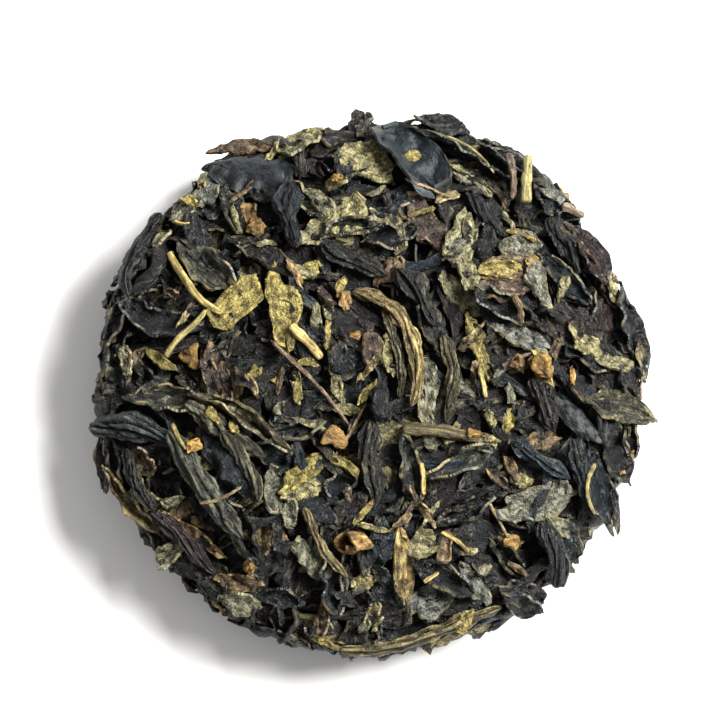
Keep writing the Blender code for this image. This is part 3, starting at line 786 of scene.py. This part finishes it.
# Rows: right and up of the disc's middle, turn, length, width, roll, tint, and where a leaf is
# bent or twisted otherwise than most, bend and twist.
PLAIN_BEND, PLAIN_TWIST = 0, 10
DARK_FLAKES = (
    (-16, 18, 60, 4.4, 4, 60, 0.3),
    (-13.4, 17.6, -70, 4.6, 2.6, 50, 0.5),
    (-11, 1.3, -30, 7.4, 5.6, 50, 0.6),
    (-4.6, 24.7, 10, 4.8, 3.6, 60, 0.9),
    (-2.4, 21.2, -80, 4.6, 2.2, 60, 0.1),
    (19.6, 18.4, -40, 5, 4, 80, 0.1),
    (17.4, 18.6, -70, 5, 2.6, 70, 0.05),
    (23.6, 10.6, -62, 6.2, 2.4, 90, 0.95),
    (26.4, 0.4, -70, 6, 3.2, 90, 0.3),
    (-21.6, -7.6, -30, 4.6, 3, 60, 0.9),
    (-25.4, -0.6, 70, 5, 3, 80, 0.2),
    (-20.6, -16.6, -40, 5, 3.4, 60, 0.5),
    (1.4, -16.4, -70, 5.2, 3.2, -60, 0),
    (20.2, -16.8, -60, 5, 3, 70, 0.1),
    (15.6, -21.6, -30, 5.4, 3.2, 80, 0.3),
    (9.6, -23.2, 20, 5.4, 3, 70, 0.3),
    (-15.6, -19.4, -35, 5.4, 3.2, 70, 0.4),
    (2, -21.4, -60, 5, 3.2, 60, 0.2),
    (15.2, 12.8, 10, 5.2, 3.4, 60, 0.7),
    (6.8, 4.8, -70, 5.4, 2.6, 90, 0.3),
    (10.6, 11.4, -40, 5, 3, 80, 0.3),
    (-9.4, 5.4, 20, 4.6, 2.6, 90, 0.7),
    (-2.6, 1.6, -80, 4.4, 2.6, 80, 0.2),
    (22.4, 2.6, -20, 5, 3, 80, 0.2),
    (-26.3, 2.5, 80, 4, 2.4, 80, 0.3),
    (8.8, -16.4, 30, 5, 3, 80, 0.4),
    (-9.2, -18.2, 20, 5, 3.2, 70, 0.3),
    (13.4, -10.4, 20, 4.8, 2.8, 70, 0.3),
    (16.4, 8.4, 60, 4.4, 3, 80, 0.2),
    (-14.6, 5.4, 30, 4.4, 2.4, 90, 0.3),
    (20.6, 5.8, -30, 6.2, 4, 50, 0.85),
)
BROWN_FLAKES = (
    (-11.9, 17.2, -75, 2.8, 1.8, 70, 0.8),
    (5.9, 15.8, -60, 6.2, 3.6, 80, 0.15, 10, 10),
    (2.2, 10.8, 60, 3.6, 2.2, 60, 0.5),
    (0.6, 3, -80, 3.4, 2.4, 60, 0.3),
    (14, 11.4, 5, 5, 3.4, 40, 0.36),
    (13.6, 9.1, 4, 5.6, 2.8, 50, 0.36),
    (20.8, 14.2, -30, 4.2, 2.2, 70, 0.5),
    (23.2, 11.4, -62, 6.6, 2, 90, 0.4, -20, 10),
    (17.3, -6, 10, 3.4, 2, 60, 0.6),
    (15, 1.6, 30, 2.2, 1.9, 60, 0.4),
    (-22.6, -8.2, -20, 3.2, 2.8, 70, 0.5),
    (-13.1, -20.6, -6, 4.4, 2.4, 60, 0.55),
    (-17.4, -15.5, -34, 7, 1.4, 80, 0.66, 0, 20),
    (19.5, 18.2, -15, 2.2, 1.8, 60, 0.9),
    (7.7, -16.7, 80, 3, 1.8, 80, 0.5),
    (-4.4, -24, 80, 4.4, 1.6, 120, 0.6),
    (16.6, 11.7, 40, 2, 1.6, 60, 0.85),
    (-15.6, 2.6, 80, 3, 1.4, 70, 0.2),
    (-15.6, -0.2, -80, 4.6, 2, 60, 0.1),
)
OLIVE_FLAKES = (
    (-7.2, 23.8, 28, 5.2, 4, 50, 0.45),
    (-15.9, 19.2, 60, 3.8, 3, 70, 0),
    (-18.5, 16.8, 30, 3, 2.6, 50, 0.2),
    (-5, 18.2, -45, 4, 2, 60, 0.25),
    (-4.4, 15.4, 10, 5.2, 4, 60, 0.45, 0, 20),
    (0.3, 21.9, 2, 5.8, 5, 24, 0.58),
    (-3, 19.6, 0, 2.2, 1.6, 60, 0.5),
    (-1.6, 16.6, 50, 4.6, 3.6, 40, 0.6),
    (1.6, 15.2, -65, 5.2, 4.2, 40, 0.4),
    (9.8, 14.8, 62, 5.8, 3.4, 50, 0.4),
    (9.5, 21, -50, 2.6, 2.2, 60, 0.2),
    (17.4, 19, -70, 4.8, 2.2, 60, 0),
    (15.5, 13.6, 20, 4.4, 3.6, 40, 0.1),
    (10.2, 10.2, -70, 3.8, 1.8, 60, 0.4),
    (17.1, 9.6, -60, 4.6, 2.6, 50, 0.1),
    (24.6, 9.2, -60, 3.4, 2.2, 80, 0.5),
    (14.9, 4.8, -22, 6.6, 2.4, 60, 0, 6, 10),
    (22.5, 3.4, -20, 3.2, 2.2, 90, 0.55),
    (24.8, 1.6, -10, 3.6, 2, 80, 0.45),
    (17.1, -12.2, 12, 7.8, 3.8, 40, 0.1, 0, 15),
    (6.2, 0.3, -82, 6, 2, 60, 0.15),
    (8.2, 10.2, -70, 2.8, 1.8, 60, 0.3),
    (2, 2.4, -80, 3.8, 1.3, 60, 0.6),
    (-2.9, -0.8, -80, 2.8, 1.2, 60, 0.6),
    (-4, 7.9, -70, 3.2, 1.2, 60, 0.55),
    (-24.2, 2.2, -70, 3.6, 1.6, 60, 0.3),
    (-17, -8.4, 20, 2.6, 1.8, 60, 0.6),
    (-22.4, -12.2, -20, 4.6, 3.4, 50, 0.6),
    (-12.1, -16.4, -60, 3.8, 2.2, 50, 0.3),
    (-20, -17.5, 30, 3.2, 2.2, 90, 0.3),
    (-12.8, -22.4, -6, 4.2, 2.4, 50, 0.25),
    (-9.4, -10.6, -72, 5, 2.4, 80, 0.1),
    (-7.6, -13.2, -75, 2.8, 1.9, 60, 0.15),
    (-6.9, -11.2, 15, 4, 2, 70, 0.6),
    (-5.6, -18, -62, 4.8, 2.8, 50, 0.15),
    (5.8, -16.5, 0, 3.6, 3.2, 60, 0.5),
    (6.8, -22.5, 35, 5, 3.8, 50, 0),
    (6.1, -4, -80, 5.4, 1.9, 60, 0.2),
    (12.3, -6.2, 0, 2.4, 1.6, 60, 0.6),
    (15.7, -10, 10, 2.4, 1.6, 60, 0.6),
    (14.6, -16.2, 5, 2.4, 1.6, 60, 0.95),
    (-0.2, -20.2, 30, 2.6, 1.8, 70, 0.7),
    (0.5, -23.8, 70, 2.8, 1.4, 70, 0.7),
    (9.6, -24.2, 20, 2.4, 1.6, 70, 0.7),
    (-20.5, 14.2, 60, 2.2, 1.6, 60, 0.4),
    (19.4, -14.6, -50, 3.2, 1.6, 70, 0.2),
    (10.8, -20.6, -60, 4.6, 2.6, 60, 0),
)


def lay_sheets(
    heap, rows, cell, press, crumple=1.0, torn=0, ridges=0.35, frill=0.08, pebble=0.06,
    taper=0.45, stiffness=STIFFNESS, level=0.0,
):
    """Lays the leaves of a table. level turns their faces up at the rim, as if it were flat."""
    for right, up, turn, length, width, roll, tint, *turns in rows:
        bend, twist = turns or (PLAIN_BEND, PLAIN_TWIST)
        flat = width * max(1.0, 0.42 * abs(math.radians(roll)))
        leaf = sheet_leaf(
            length, flat, cell, roll=roll, bend=bend, twist=twist, crumple=crumple, torn=torn,
            taper=taper, ridges=ridges, frill=frill, pebble=pebble,
        )
        place = face_frame(right, up, turn, level)
        heap.add(leaf, place, press, tint, stiffness=stiffness)


dark_flakes = Heap("dark_flakes", LEAF_THICKNESS)
lay_sheets(
    dark_flakes, DARK_FLAKES, cell=0.24, press=1.0, crumple=1.1, torn=3, ridges=0.15, taper=0.12,
)
brown_flakes = Heap("brown_flakes", LEAF_THICKNESS)
lay_sheets(
    brown_flakes, BROWN_FLAKES, cell=0.20, press=1.3, crumple=0.8, torn=2, ridges=0.15, taper=0.15,
)
OLIVE_THICKNESS = 0.30
olive_flakes = Heap("olive_flakes", OLIVE_THICKNESS)
lay_sheets(
    olive_flakes, OLIVE_FLAKES, cell=0.18, press=1.4, crumple=0.65, torn=3, ridges=0.10,
    taper=0.12,
)
dark_flakes.finish(dark_leaf)

# A strip of bark, curled to a ring that stands up, and a flake that sticks out over the rim
bark_curl = sheet_leaf(2.4, 6.6, 0.2, roll=355, crumple=0.15, torn=0, taper=0, frill=0.03, stand=50)
brown_flakes.add(bark_curl, face_frame(-1.45, -16.3, turn=190), 2.4, tone=0.88, sink=0.5)
rim_flake = sheet_leaf(6.0, 2.1, 0.16, roll=35, bend=-25, crumple=0.8, torn=1, taper=0.35)
rim_place = face_frame(-13.0, 23.7, turn=-4, level=0.7)
brown_flakes.add(rim_flake, rim_place, 1.0, tone=0.45, stiffness=0.9)
brown_flakes.finish(brown_leaf)
olive_flakes.finish(olive_leaf)


# ---- Rolled leaves ------------------------------------------------------------------------
# Whole young leaves that were rolled or folded lengthwise while soft, then twisted as they
# dried. The dark ones are smooth and slightly glossy, the olive and tan ones are older leaf.
smooth_leaf = leaf_material(
    "smooth_leaf",
    shades=((0.004, 0.009, 0.013), (0.006, 0.008, 0.009), (0.010, 0.011, 0.008)),
    # The first worn colour is bluish: partly wear, partly a painted bluish sheen
    worn=((0.026, 0.036, 0.044), (0.034, 0.038, 0.036), (0.050, 0.048, 0.032)),
    edge=(0.042, 0.040, 0.032),
    wear=0.34, pebbles=0.5, streaks=0.3, mottle=0.9, smooth=0.48,
    rough=0.64, relief=0.00018, specular=0.36,
)
olive_roll = leaf_material(
    "olive_rolled_leaf",
    shades=(
        (0.010, 0.014, 0.014), (0.030, 0.029, 0.018), (0.062, 0.048, 0.021), (0.130, 0.092, 0.034),
    ),
    worn=(
        (0.040, 0.050, 0.047), (0.110, 0.102, 0.060), (0.155, 0.128, 0.060), (0.240, 0.185, 0.075),
    ),
    edge=(0.210, 0.175, 0.085),
    wear=0.45, streaks=0.55, smooth=0.32, rough=0.58, relief=0.00044,
)

# Rows as for the torn flakes.
DARK_ROLLS = (
    (-24.9, 5.5, 75, 5.4, 2.6, 150, 0.3, 10, 20),
    (-20.2, 5.4, -12, 11, 3.2, 170, 0.25, 95, 20),
    (-25.4, -9, -66, 7, 2, 200, 0.9, 14, 30),
    (-13.9, -8.8, -55, 8.2, 3.6, -170, 0.15, 10, 20),
    (-8, -24, 75, 5.2, 2.8, 210, 0.2, 60, 40),
    (-8.7, -21.6, -5, 4.4, 1.6, 180, 0.2, -50, 0),
    (10, 23.4, -28, 11.8, 3, 170, 0.35, -15, 40),
    (1.3, -2.5, -70, 3.4, 2.4, 420, 0.15, 20, 30),
    (-2.5, -10.5, 60, 3.8, 2.8, 180, 0.2, 20, 0),
    (14.4, -17.8, -50, 4.6, 2, 200, 0.4, 5, 20),
    (20, 10.2, -42, 7, 2.6, 160, 0.05, 5, 20),
    (22.1, 12.3, -60, 6, 3.4, 130, 0.95, 5, 20),
    (-7.4, -5.4, 20, 6, 2, 240, 0.35, 12, 50),
    (-17, 14, -70, 6.4, 2.6, -200, 0.2, 20, 40),
    (13.8, 7.2, -28, 6.6, 2.6, 190, 0.35, 10, 30),
    (2.6, 14.6, 20, 5.4, 2.4, 220, 0.25, 20, 40),
    (7.6, -19.8, -30, 6.4, 2.6, 180, 0.3, 12, 40),
    (-3.6, -20.6, -80, 5.8, 2.8, 170, 0.15, 15, 20),
    (10.4, -12.8, 30, 6.4, 2.2, 240, 0.25, 10, 40),
    (14.6, 21, -40, 6.6, 2.6, 200, 0.2, 8, 30),
    (-12.6, -14.8, -60, 6.6, 2.4, 230, 0.3, 10, 40),
)
SMOOTH_LEAVES = (
    (-11.6, 21.2, -20, 7, 5.8, -90, 0.25, 10, 15),
    (4.3, 22.8, -55, 8.6, 6.4, 105, 0.1, -34, 5),
    (21.3, -4, -48, 5, 2.8, -120, 0.45, 12, 5),
)
# Leaves that hang over the rim
DARK_RIM = (
    (24.8, -7, -58, 7, 3.6, 110, 0.3, 8, 10),
    (22.9, -10.2, -70, 9.4, 3.8, 120, 0.1, 5, 10),
    (26.3, -6, -80, 4, 2.6, 180, 0.3, 10, 0),
    (26.3, 5.3, -79, 7.4, 4.2, 130, 0.2, -12, 20),
    (18.8, -18, -66, 5.6, 2.6, 130, 0.1, -8, 20),
    (15.4, -22.4, -30, 4.4, 2.8, 120, 0.3),
    (-26.4, -8.4, -75, 5, 2.4, 120, 0.9, 10, 20),
    (7.3, 25, -24, 5, 3.4, 110, 0.2, 10, 20),
    (-0.7, 26.1, 80, 4, 2.6, 190, 0.9, 10, 10),
    (14, 23.2, -35, 5.2, 3, 110, 0.3, 10, 20),
)
OLIVE_ROLLS = (
    (-15.9, 11.2, -45, 7, 3.6, 90, 0.22, 6, 10),
    (-20, -1.9, -5, 8.2, 3, 170, 0.2, 10, 30),
    (-12.4, -3.5, -28, 10.2, 1.8, 230, 0.45, -42, 90),
    (9.1, -8.7, 26, 7, 2.4, 180, 0.15, 10, 30),
    (4.5, -9, -82, 6.6, 2.4, 170, 0.1, 6, 20),
    (-6.4, 18.2, -45, 4.8, 1.6, 200, 0.2, 10, 20),
    (-1.8, 15.4, 15, 5.2, 2.2, 220, 0.15, -60, 20),
    (-23.4, -12.6, -50, 8, 1.6, 190, 0.72, 8, 30),
    (3.7, -18.8, -84, 6.6, 2.2, 40, 1, 0, 5),
)
OLIVE_RIM = (
    (25.5, -2.8, -14, 8, 3.8, 75, 0.34, 0, 15),
    (27.2, 1.8, -75, 4, 2.2, 80, 0.55),
)
# Rows for those rolled shut: right, up, turn, length, width, bend, tint, twist.
DARK_TWISTS = (
    (-23, 12.6, -100, 10.4, 1.9, 45, 0.3, 60),
    (-1.3, 12.2, -30, 7.6, 2.4, -12, 0.55, 60),
    (-7.8, 16.8, -85, 7.8, 2.8, 8, 0.1, 40),
    (5.1, 8.3, -55, 7.2, 2.8, 8, 0.45, 60),
    (-0.2, 7, -40, 9.6, 1.5, -10, 0.6, 120),
    (17.8, -2.5, -70, 6.2, 2.1, 10, 0.85, 40),
    (17.5, -8, -33, 7, 1.9, -18, 0, 60),
    (18.4, -17.5, -70, 6.8, 2.4, -8, 0.22, 80),
    (-18.6, -16.2, -42, 9.2, 2, 0, 0.98, 120),
    (-23, -10.2, -60, 7.2, 2, 5, 0.5, 120),
    (21.4, -9.9, -76, 8, 1.9, 5, 0.1, 60),
    (0.3, -8.2, -85, 8.6, 2.7, 8, 0.52, 40),
    (12.2, -2.7, -72, 6.6, 1.3, -6, 0.3, 60),
    (12, 17, -50, 6.6, 1.8, 10, 0.3, 90),
    (19.6, 13.4, -60, 6.6, 1.8, 10, 0.3, 90),
)
# One broad leaf, pleated from end to end
PLEATED_TWISTS = (
    (-24.2, -4.9, -10, 11.4, 3, -34, 0, 60),
)
OLIVE_TWISTS = (
    (-14.2, -4.9, -33, 9.8, 2.2, -10, 0.25, 120),
    (-12, -8.4, -62, 8.2, 1.6, -50, 0.35, 150),
    (-16.2, -10.6, -54, 13, 2.6, -8, 0.17, 90),
    (-4.5, -16.6, -58, 8.2, 1.1, 18, 0.7, 90),
    (8.6, 0.2, -88, 9, 1.6, -35, 0.45, 60),
    (3.2, 3, -80, 9.6, 1.1, -40, 0.4, 60),
    (4.3, 4.4, -65, 15, 1.9, -105, 0.84, 60),
    (5.6, -26, 19, 17, 1.8, 16, 0.62, 60),
)


def lay_spindles(heap, rows, press, segments, rings, **form):
    """Lays the rolled leaves, stems or buds of a table."""
    for right, up, turn, length, width, bend, tint, *twist in rows:
        leaf = spindle(length, width, segments, rings, bend, *twist, **form)
        heap.add(leaf, face_frame(right, up, turn), press, tint)


ROLLED_THICKNESS = 0.26
AT_THE_RIM = {"ridges": 0.25, "stiffness": 0.85, "level": 0.35}
rolled_leaves = Heap("rolled_leaves", ROLLED_THICKNESS)
lay_sheets(rolled_leaves, DARK_ROLLS, cell=0.26, press=1.2, crumple=0.7)
lay_sheets(rolled_leaves, DARK_RIM, cell=0.24, press=1.4, crumple=0.6, **AT_THE_RIM)
smooth_leaves = Heap("smooth_leaves", ROLLED_THICKNESS)
lay_sheets(
    smooth_leaves, SMOOTH_LEAVES, cell=0.26, press=1.5, crumple=0.5, ridges=0.08, frill=0.05,
    pebble=0.02, taper=0.16,
)
olive_rolled_leaves = Heap("olive_rolled_leaves", ROLLED_THICKNESS)
lay_sheets(olive_rolled_leaves, OLIVE_ROLLS, cell=0.28, press=1.4, crumple=0.6)
lay_sheets(
    olive_rolled_leaves, OLIVE_RIM, cell=0.24, press=1.8, crumple=0.5, taper=0.8, **AT_THE_RIM,
)
twisted_leaves = Heap("twisted_leaves")
lay_spindles(
    twisted_leaves, DARK_TWISTS, press=1.5, segments=40, rings=60, flat=0.8, folds=3,
    fold_depth=0.54, blunt=3.0, crumple=0.12, strands=8, sway=0.03,
)
olive_twisted_leaves = Heap("olive_twisted_leaves")
lay_spindles(
    olive_twisted_leaves, PLEATED_TWISTS, press=1.7, segments=72, rings=80, flat=0.7, folds=2,
    fold_depth=0.66, blunt=4.5, crumple=0.13, strands=9, sway=0.015,
)
lay_spindles(
    olive_twisted_leaves, OLIVE_TWISTS, press=1.7, segments=50, rings=60, flat=0.8, folds=2,
    fold_depth=0.48, blunt=4.5, crumple=0.10, strands=6, sway=0.015,
)
rolled_leaves.finish(dark_leaf)
smooth_leaves.finish(smooth_leaf)
olive_rolled_leaves.finish(olive_roll)
twisted_leaves.finish(dark_leaf)
olive_twisted_leaves.finish(olive_roll)


# ---- Yellow flakes ------------------------------------------------------------------------
# The few bits of pale, yellow leaf, torn from older leaves. They lie on top and stand out
# against the dark ones.
yellow_leaf = leaf_material(
    "yellow_leaf",
    shades=((0.055, 0.045, 0.012), (0.085, 0.066, 0.017), (0.090, 0.059, 0.019)),
    worn=((0.158, 0.135, 0.041), (0.198, 0.165, 0.048), (0.222, 0.165, 0.062)),
    edge=(0.150, 0.110, 0.036),
    wear=0.66, pebbles=1.0, streaks=0.15, mottle=0.7, smooth=0.44, rough=0.66, relief=0.00044,
)

# Rows as for the torn flakes.
YELLOW_FLAKES = (
    (-12.6, 8.2, 48, 7.2, 3.6, 60, 0.55, 0, 20),
    (-8.3, 7.5, -82, 7.8, 4.4, 40, 0.6, 0, 20),
    (-5.8, 11.2, 20, 2.6, 2, 60, 0.4),
    (13.3, 10.9, 4, 4.2, 2, 50, 0.75),
    (11.3, 3.4, -78, 6.6, 1.6, 70, 0.2, 0, 20),
    (17.5, 0.9, -60, 3.4, 2.4, 60, 0.85),
    (-5.8, -8.9, 40, 5.8, 2.2, 60, 0.15, 0, 20),
    (14.2, -4.2, 70, 2.6, 1.4, 60, 0.5),
    (-17.6, 17.8, -30, 2.2, 1.4, 60, 0.4),
    (4.4, 22.4, 10, 1.9, 1.3, 60, 0.3),
    (-15.4, -3.6, -60, 1.9, 1.2, 60, 0.6),
    (-13.3, -4.6, -60, 1.8, 1.1, 60, 0.6),
    (-11.4, 0.8, 40, 1.6, 1.2, 60, 0.5),
    (-9, 0.2, 10, 1.6, 1, 60, 0.5),
    (9.6, -23.9, 60, 2.2, 1.5, 60, 0.7),
)

yellow_flakes = Heap("yellow_flakes", OLIVE_THICKNESS)
lay_sheets(
    yellow_flakes, YELLOW_FLAKES, cell=0.15, press=1.9, crumple=0.7, torn=3, ridges=0.10,
    taper=0.15,
)
yellow_flakes.finish(yellow_leaf)


# ---- Crumbs -------------------------------------------------------------------------------
# Small bits of all the leaves, broken off when these were pressed, which cling in the gaps
# between them.
CRUMB_THICKNESS = 0.22
for name, material, count in (
    ("dark_crumbs", dark_leaf, 70),
    ("olive_crumbs", olive_leaf, 40),
    ("brown_crumbs", brown_leaf, 26),
    ("yellow_crumbs", yellow_leaf, 14),
):
    crumbs = Heap(name, CRUMB_THICKNESS)
    for _ in range(count):
        leaf = sheet_leaf(
            length=dice.uniform(1.4, 3.6), flat=dice.uniform(0.5, 1.3), cell=0.25,
            roll=dice.normal(0, 80), bend=dice.normal(0, 20), crumple=dice.uniform(0.8, 1.4),
            torn=dice.integers(2, 4), taper=0.15,
        )
        crumbs.add(leaf, random_frame("top", tries=8), 0.1, dice.random())
    crumbs.finish(material)


# ---- Stems, stalks and buds ---------------------------------------------------------------
# Woody bits between the leaves: straw-coloured stems with fine grooves, thin dark stalks, and
# blunt orange-brown buds and stalk ends.
pale_stem = leaf_material(
    "pale_stem",
    shades=(
        (0.030, 0.025, 0.012), (0.080, 0.066, 0.022), (0.140, 0.108, 0.032), (0.215, 0.136, 0.038),
    ),
    worn=(
        (0.066, 0.052, 0.026), (0.170, 0.145, 0.056), (0.240, 0.198, 0.074), (0.305, 0.212, 0.075),
    ),
    edge=(0.220, 0.130, 0.048),
    wear=0.46, pebbles=0.6, streaks=0.65, mottle=0.9, smooth=0.44, rough=0.64, relief=0.00026,
)
bud_skin = leaf_material(
    "bud_skin",
    shades=(
        (0.034, 0.020, 0.014), (0.075, 0.045, 0.016), (0.115, 0.066, 0.016), (0.165, 0.092, 0.018),
    ),
    worn=(
        (0.060, 0.040, 0.024), (0.100, 0.064, 0.024), (0.140, 0.086, 0.024), (0.200, 0.120, 0.028),
    ),
    edge=(0.120, 0.066, 0.026),
    wear=0.44, mottle=0.7, smooth=0.46, rough=0.66, relief=0.00028,
)

# Rows: right and up of the disc's middle, turn, length, width, bend, tint.
PALE_STEMS = (
    (-17.8, 9.4, -50, 9.6, 0.8, 34, 0.75),
    (-18.1, 4.6, 46, 6.4, 0.7, 0, 0.4),
    (15.6, 19.5, 84, 5.4, 1.05, -6, 0.3),
    (-6, 3.8, -46, 4.4, 1, 0, 0.8),
    (7.4, -5.2, -6, 7.8, 1.3, 6, 0.02),
    (21.6, -10.9, -88, 5.4, 0.44, 75, 0.34),
    (5.6, -9.9, -86, 3.2, 0.5, 0, 0.75),
    (9, -16, -36, 3.6, 0.45, -50, 0.8),
    (-18.6, -5.8, -55, 3.4, 0.4, 10, 0.6),
    (11.6, -0.2, -80, 3.2, 0.5, 10, 0.6),
    (10.2, 22.8, -40, 7.4, 0.32, -36, 0.35),
    (-18.4, 15.4, -20, 1.9, 0.4, 60, 0.8),
    (6.4, -19.7, 30, 1.8, 0.4, 0, 0.9),
)
DARK_STALKS = (
    (14.1, 19.7, -88, 4.8, 0.7, 0, 0.4),
    (-5.6, -0.4, -48, 12, 0.45, 10, 0.4),
    (15, 2.1, 25, 3.6, 0.5, 0, 0.2),
    (15.1, 6.9, -72, 3, 0.6, 0, 0.6),
    (20.3, 16.6, 14, 3.4, 0.8, 0, 0.3),
    (27.3, -0.6, 80, 3, 0.4, 0, 0.3),
    (-1, -4.2, 60, 4.6, 0.35, 30, 0.5),
    (6, 19, -20, 5, 0.35, 20, 0.5),
    (-14.4, -11.8, 20, 4.4, 0.35, 20, 0.5),
    (13.2, -14.2, -60, 4.4, 0.35, 20, 0.5),
)
BUDS = (
    (-17.6, 2.2, -60, 2.5, 1.7, 0, 0.75),
    (-3.1, -5.9, -30, 2.6, 2.2, 0, 0.6),
    (-11.2, 15.6, -80, 2.4, 1.4, 0, 0.6),
    (17.5, 1.2, -60, 2.8, 1.7, 0, 0.8),
    (15, 1.6, 20, 1.7, 1.4, 0, 0.3),
    (-1.2, 4.6, 0, 1.2, 0.8, 0, 0.7),
    (10.7, -5.3, -6, 1.5, 0.8, 0, 0.85),
    (-3, 19.8, 0, 1.4, 0.9, 0, 0.9),
    (14.6, -16.2, 10, 1.9, 1.2, 0, 0.7),
    (-11.8, -18.7, 0, 1.3, 1.1, 0, 0.8),
    (-17, -6.7, -20, 1.5, 1, 0, 0.95),
)

pale_stems = Heap("pale_stems")
lay_spindles(
    pale_stems, PALE_STEMS, press=1.8, segments=16, rings=30, flat=0.85, overlap=0.0, folds=3,
    fold_depth=0.2, blunt=16, taper=0.2, crumple=0.045, sway=0.015,
)
dark_stalks = Heap("dark_stalks")
lay_spindles(
    dark_stalks, DARK_STALKS, press=1.8, segments=10, rings=20, flat=0.9, overlap=0.0, folds=2,
    blunt=12, taper=0.4, crumple=0.08, sway=0.03,
)
buds = Heap("buds")
lay_spindles(
    buds, BUDS, press=1.8, segments=28, rings=22, flat=0.6, overlap=0.2, folds=2, fold_depth=0.25,
    blunt=4.0, taper=0.3, crumple=0.24, sway=0.0,
)
pale_stems.finish(pale_stem)
dark_stalks.finish(brown_leaf)
buds.finish(bud_skin)


# ---- Foot leaves --------------------------------------------------------------------------
# The face that the disc lies on. It was pressed flattest, with broad leaves side by side that
# meet the table.
FOOT_LEAVES, FOOT_PRESS, FOOT_STAND = 84, 1.15, 0.6
foot_leaves = Heap("foot_leaves", LEAF_THICKNESS)
for _ in range(FOOT_LEAVES):
    leaf = sheet_leaf(
        length=dice.uniform(5.5, 10.0), flat=dice.uniform(3.2, 5.6), cell=0.62,
        roll=dice.normal(0, 45), bend=dice.normal(0, 20), twist=dice.normal(0, 12),
        crumple=dice.uniform(0.5, 1.0), torn=dice.integers(0, 3),
    )
    place = random_frame("under", tries=14)
    foot_leaves.add(leaf, place, FOOT_PRESS, dice.random(), sink=-FOOT_STAND)
foot_leaves.finish(dark_leaf)


# ---- The studio ---------------------------------------------------------------------------
# A plain white table, one soft light from the right and a bright, even room around them.
# Sizes are in metres.
TABLE_REACH = 1.5
TABLE_DROP = 0.00002
LIGHT_SIZE, LIGHT_DISTANCE, LIGHT_POWER = 0.22, 0.45, 6.5
LIGHT_AZIMUTH, LIGHT_ELEVATION = math.radians(20), math.radians(43)
ROOM_LIGHT = 0.44
GAMMA = 1.09

floor_shape = bmesh.new()
bmesh.ops.create_grid(floor_shape, x_segments=1, y_segments=1, size=TABLE_REACH)
bmesh.ops.translate(floor_shape, verts=floor_shape.verts[:], vec=(0, 0, -TABLE_DROP))
floor_mesh = bpy.data.meshes.new("table_top")
floor_shape.to_mesh(floor_mesh)
floor_shape.free()
table_top = bpy.data.objects.new("table_top", floor_mesh)
bpy.context.scene.collection.objects.link(table_top)
white = bpy.data.materials.new("white_table")
white.use_nodes = True
paint = white.node_tree.nodes["Principled BSDF"]
paint.inputs["Base Color"].default_value = (0.86, 0.86, 0.86, 1)
paint.inputs["Roughness"].default_value = 0.9
floor_mesh.materials.append(white)

light_from = Vector((
    math.cos(LIGHT_AZIMUTH) * math.cos(LIGHT_ELEVATION),
    math.sin(LIGHT_AZIMUTH) * math.cos(LIGHT_ELEVATION),
    math.sin(LIGHT_ELEVATION),
))
soft_box = bpy.data.lights.new("soft_box", "AREA")
soft_box.size = LIGHT_SIZE
soft_box.energy = LIGHT_POWER
soft_box.color = (1.0, 0.985, 0.95)
soft_box_stand = bpy.data.objects.new("soft_box", soft_box)
soft_box_stand.location = light_from * LIGHT_DISTANCE
soft_box_stand.rotation_euler = light_from.to_track_quat("Z", "Y").to_euler()
bpy.context.scene.collection.objects.link(soft_box_stand)

room = bpy.data.worlds.new("room")
room.use_nodes = True
walls = room.node_tree.nodes["Background"]
walls.inputs["Color"].default_value = (1.0, 0.99, 0.98, 1)
walls.inputs["Strength"].default_value = ROOM_LIGHT
bpy.context.scene.world = room
bpy.context.scene.view_settings.view_transform = "Standard"
bpy.context.scene.view_settings.look = "Medium High Contrast"
bpy.context.scene.view_settings.gamma = GAMMA
